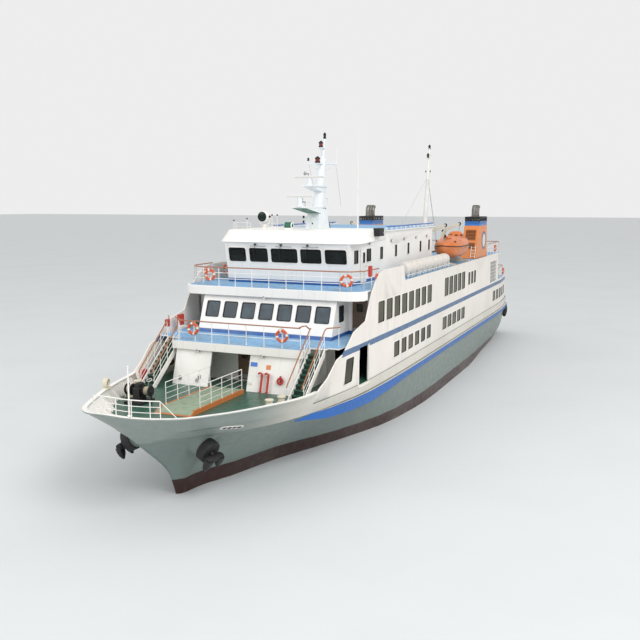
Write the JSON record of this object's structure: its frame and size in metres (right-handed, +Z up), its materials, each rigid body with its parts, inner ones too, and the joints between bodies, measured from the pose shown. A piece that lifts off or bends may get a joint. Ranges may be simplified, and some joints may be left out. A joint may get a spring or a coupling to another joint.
{
  "type": "half-size scale model of a passenger ferry",
  "caption": "Coastal passenger ferry afloat at its waterline, a half-size model with a foredeck ramp, raked deckhouses, wheelhouse, funnels, lifeboats and turning propellers and rudders",
  "frame": {"origin": "on the waterline, amidships, on the centreline", "axes": "+X to the bow, +Y to port, +Z up"},
  "size_m": [29.78, 6.15, 11.0047],
  "materials": {
    "white_paint": "gloss ship enamel, warm white",
    "blue_paint": "gloss ship enamel, blue",
    "deck_coating": "matt deck coating, light blue",
    "green_deck_paint": "matt non-slip deck paint, green",
    "brown_paint": "satin enamel, brown",
    "cream_paint": "satin enamel, cream white",
    "orange_paint": "gloss enamel, orange",
    "black_paint": "satin enamel, black",
    "orange_plastic": "glass-reinforced plastic, orange",
    "white_plastic": "glass-reinforced plastic, white",
    "bronze": "cast bronze, polished",
    "antifouling": "matt antifouling paint, red-brown"
  },
  "bodies": {
    "ship": {"aft_mast": "cream_paint", "anchor_port": "black_paint", "anchor_starboard": "black_paint", "bollards_port": "cream_paint", "bollards_starboard": "cream_paint", "bow_bulwark": "white_paint", "bow_rail": "white_paint", "davit_track_port": "white_paint", "davit_track_starboard": "white_paint", "deck_2": "deck_coating", "deck_2_aft_rail": "white_paint", "deck_2_fascia": "white_paint", "deck_2_rail": "white_paint", "deck_3": "deck_coating", "deck_3_aft_rail": "white_paint", "deck_3_fascia": "white_paint", "deck_3_rail": "white_paint", "deckhouse": "white_paint", "funnel_port": "orange_paint", "funnel_starboard": "orange_paint", "funnel_top_port": "black_paint", "funnel_top_starboard": "black_paint", "hull": "white_paint", "jackstaff": "white_paint", "liferafts_port": "white_plastic", "liferafts_starboard": "white_plastic", "main_aft_bulkhead": "white_paint", "main_house_front": "white_paint", "main_mast": "cream_paint", "rub_rail": "blue_paint", "saloon_aft_bulkhead": "white_paint", "saloon_front": "white_paint", "side_shell_port": "white_paint", "side_shell_starboard": "white_paint", "stair_port": "green_deck_paint", "stair_starboard": "green_deck_paint", "top_deck": "white_paint", "top_deck_rail": "white_paint", "wheelhouse_front": "white_paint", "wheelhouse_roof": "white_paint", "wheelhouse_side_port": "white_paint", "wheelhouse_side_starboard": "white_paint", "windlass": "black_paint"},
    "propeller_port": {"propeller_port": "bronze"},
    "rudder_port": {"rudder_port": "antifouling"},
    "boat_port": {"lifeboat_port": "orange_plastic", "davit_arms_port": "cream_paint"},
    "saloon_door_port": {"saloon_door_port": "brown_paint"},
    "wheelhouse_door_port": {"wheelhouse_door_port": "white_paint"},
    "propeller_starboard": {"propeller_starboard": "bronze"},
    "rudder_starboard": {"rudder_starboard": "antifouling"},
    "boat_starboard": {"lifeboat_starboard": "orange_plastic", "davit_arms_starboard": "cream_paint"},
    "saloon_door_starboard": {"saloon_door_starboard": "brown_paint"},
    "wheelhouse_door_starboard": {"wheelhouse_door_starboard": "white_paint"},
    "ramp": {"boarding_ramp": "green_deck_paint"},
    "entrance_door": {"entrance_door": "brown_paint"},
    "lower_scanner": {"lower_scanner": "white_plastic"},
    "upper_scanner": {"upper_scanner": "white_plastic"},
    "searchlight": {"searchlight": "white_plastic"}
  },
  "joints": [
    {"name": "propeller_port_spin", "type": "hinge", "parent": "ship", "child": "propeller_port", "pos_m": [-12.7, 1.25, -0.86], "axis": [1, 0, 0], "continuous": true},
    {"name": "rudder_port_turn", "type": "hinge", "parent": "ship", "child": "rudder_port", "pos_m": [-13.65, 1.25, -0.45], "axis": [0, 0, 1], "range_deg": [-35, 35]},
    {"name": "boat_port_launch", "type": "slide", "parent": "ship", "child": "boat_port", "axis": [0, 0.9813, -0.1925], "range_m": [0, 1.1]},
    {"name": "saloon_door_port_swing", "type": "hinge", "parent": "ship", "child": "saloon_door_port", "pos_m": [6.673, 2.7, 3.65], "axis": [0, 0, 1], "range_deg": [0, 95]},
    {"name": "wheelhouse_door_port_swing", "type": "hinge", "parent": "ship", "child": "wheelhouse_door_port", "pos_m": [5.55, 2.081, 4.95], "axis": [0, 0, -1], "range_deg": [0, 95]},
    {"name": "propeller_starboard_spin", "type": "hinge", "parent": "ship", "child": "propeller_starboard", "pos_m": [-12.7, -1.25, -0.86], "axis": [1, 0, 0], "continuous": true},
    {"name": "rudder_starboard_turn", "type": "hinge", "parent": "ship", "child": "rudder_starboard", "pos_m": [-13.65, -1.25, -0.45], "axis": [0, 0, 1], "range_deg": [-35, 35]},
    {"name": "boat_starboard_launch", "type": "slide", "parent": "ship", "child": "boat_starboard", "axis": [0, -0.9813, -0.1925], "range_m": [0, 1.1]},
    {"name": "saloon_door_starboard_swing", "type": "hinge", "parent": "ship", "child": "saloon_door_starboard", "pos_m": [6.673, -2.7, 3.65], "axis": [0, 0, -1], "range_deg": [0, 95]},
    {"name": "wheelhouse_door_starboard_swing", "type": "hinge", "parent": "ship", "child": "wheelhouse_door_starboard", "pos_m": [5.55, -2.081, 4.95], "axis": [0, 0, 1], "range_deg": [0, 95]},
    {"name": "entrance_door_swing", "type": "hinge", "parent": "ship", "child": "entrance_door", "pos_m": [8.673, -0.375, 2.45], "axis": [0, 0, -1], "range_deg": [0, 95]},
    {"name": "ramp_lift", "type": "hinge", "parent": "ship", "child": "ramp", "pos_m": [9.925, 0, 1.9503], "axis": [0, -1, 0], "range_deg": [0, 20]},
    {"name": "lower_scanner_spin", "type": "hinge", "parent": "ship", "child": "lower_scanner", "pos_m": [5.4, 0, 7], "axis": [0, 0, 1], "continuous": true},
    {"name": "upper_scanner_spin", "type": "hinge", "parent": "ship", "child": "upper_scanner", "pos_m": [4.675, 0, 7.6], "axis": [0, 0, 1], "continuous": true},
    {"name": "searchlight_pan", "type": "hinge", "parent": "ship", "child": "searchlight", "pos_m": [6, -0.91, 6.175], "axis": [0, 0, 1], "range_deg": [-170, 170]}
  ]
}
